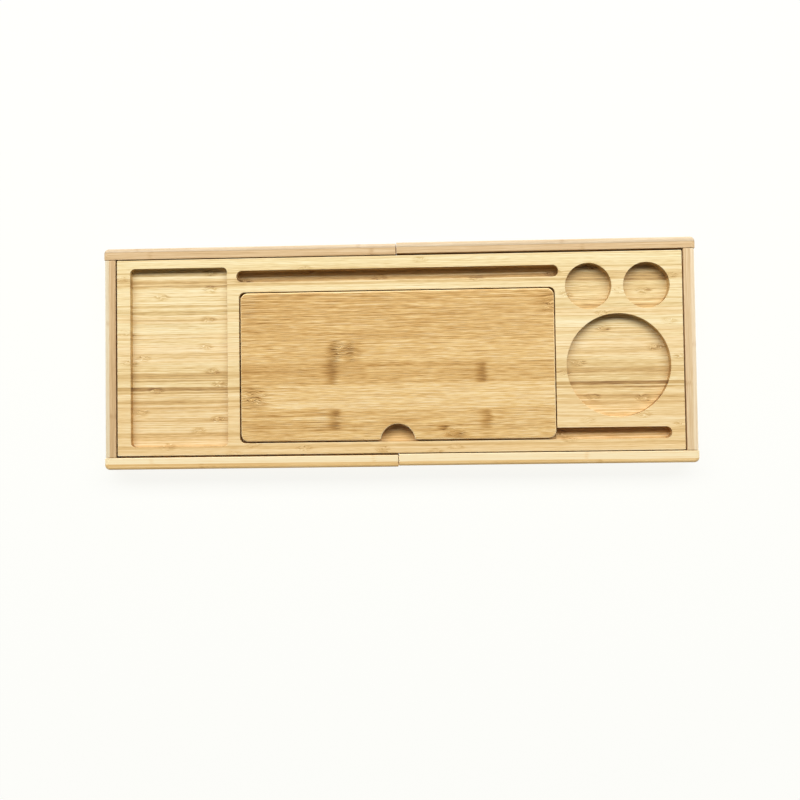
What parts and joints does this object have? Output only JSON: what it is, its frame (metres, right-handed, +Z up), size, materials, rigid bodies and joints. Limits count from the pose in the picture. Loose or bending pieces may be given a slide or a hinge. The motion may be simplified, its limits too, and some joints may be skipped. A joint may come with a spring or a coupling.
{
  "type": "expandable bathtub tray",
  "caption": "Flat bamboo tray whose end frames slide out to span a bathtub, with a routed pocket, narrow slots, round cup and candle recesses and a lift-out rest panel.",
  "frame": {"origin": "centre of the footprint of the closed tray, on the surface that the grips stand on", "axes": "+X to the right along the tray's length, +Y to the back, where the long slot is, +Z up out of the tray's top"},
  "size_m": [0.61, 0.231, 0.022],
  "materials": {
    "side_pressed_bamboo": "satin lacquered side-pressed bamboo, narrow strips",
    "flat_pressed_bamboo": "satin lacquered flat-pressed caramel bamboo, wide strips with knuckles",
    "rail_bamboo": "satin lacquered bamboo, grain along the rail",
    "beech_dowel": "plain beech",
    "zinc_plated_steel": "bright zinc plate",
    "clear_silicone": "matt milky silicone"
  },
  "bodies": {
    "board": {"tray_board": "side_pressed_bamboo", "left_front_stop_screw": "zinc_plated_steel", "left_back_stop_screw": "zinc_plated_steel", "right_front_stop_screw": "zinc_plated_steel", "right_back_stop_screw": "zinc_plated_steel"},
    "left_frame": {"left_front_rail": "rail_bamboo", "left_back_rail": "rail_bamboo", "left_end_rail": "rail_bamboo", "left_front_lower_dowel": "beech_dowel", "left_front_upper_dowel": "beech_dowel", "left_back_lower_dowel": "beech_dowel", "left_back_upper_dowel": "beech_dowel", "left_front_grip": "clear_silicone", "left_back_grip": "clear_silicone"},
    "right_frame": {"right_front_rail": "rail_bamboo", "right_back_rail": "rail_bamboo", "right_end_rail": "rail_bamboo", "right_front_lower_dowel": "beech_dowel", "right_front_upper_dowel": "beech_dowel", "right_back_lower_dowel": "beech_dowel", "right_back_upper_dowel": "beech_dowel", "right_front_grip": "clear_silicone", "right_back_grip": "clear_silicone"},
    "book_rest": {"book_rest_panel": "flat_pressed_bamboo"}
  },
  "joints": [
    {"name": "left_frame_slide", "type": "slide", "parent": "board", "child": "left_frame", "axis": [-1, 0, 0], "range_m": [0, 0.17]},
    {"name": "right_frame_slide", "type": "slide", "parent": "board", "child": "right_frame", "axis": [1, 0, 0], "range_m": [0, 0.17]},
    {"name": "book_rest_lift", "type": "slide", "parent": "board", "child": "book_rest", "axis": [0, 0, 1], "range_m": [0, 0.05]}
  ]
}
